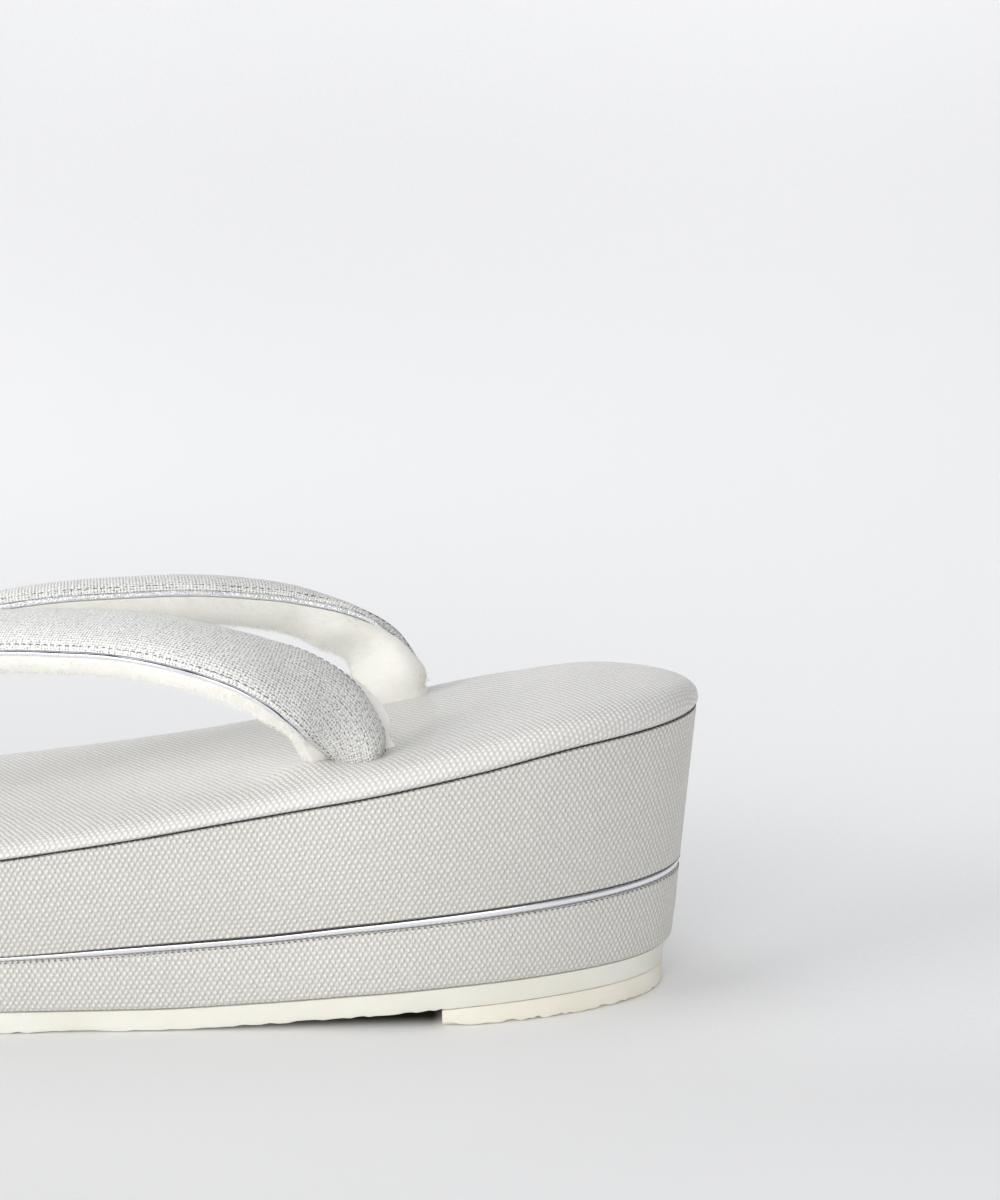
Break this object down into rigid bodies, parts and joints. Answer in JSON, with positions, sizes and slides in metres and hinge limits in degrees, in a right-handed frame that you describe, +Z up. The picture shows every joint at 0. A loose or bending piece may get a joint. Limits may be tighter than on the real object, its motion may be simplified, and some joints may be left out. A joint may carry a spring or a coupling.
{
  "type": "zori sandal",
  "caption": "Women's dress zori sandal: padded wedge sole in pale canvas with a silver layer, cream rubber tread and heel lift, and a padded V strap with velvet lining and a toe loop.",
  "frame": {"origin": "on the floor under the middle of the bounding box", "axes": "+X towards the heel, -X towards the toe, +Y to the far side in the picture, +Z up"},
  "size_m": [0.2406, 0.0826, 0.0769],
  "materials": {
    "pale_canvas": "pale grey canvas with a pearl sheen",
    "silver_trim": "silver foil",
    "cream_rubber": "satin cream",
    "cream_lift": "matt cream with cut edges",
    "silver_cloth": "white and silver woven cloth",
    "ivory_velvet": "short ivory nap"
  },
  "bodies": {
    "root": {"outsole": "cream_rubber", "heel_lift": "cream_lift", "lower_core": "pale_canvas", "silver_layer": "silver_trim", "upper_core": "pale_canvas", "seat_cushion": "pale_canvas", "strap_cover": "silver_cloth", "strap_lining": "ivory_velvet", "outer_piping": "silver_trim", "inner_piping": "silver_trim", "toe_loop": "silver_cloth"}
  },
  "joints": []
}
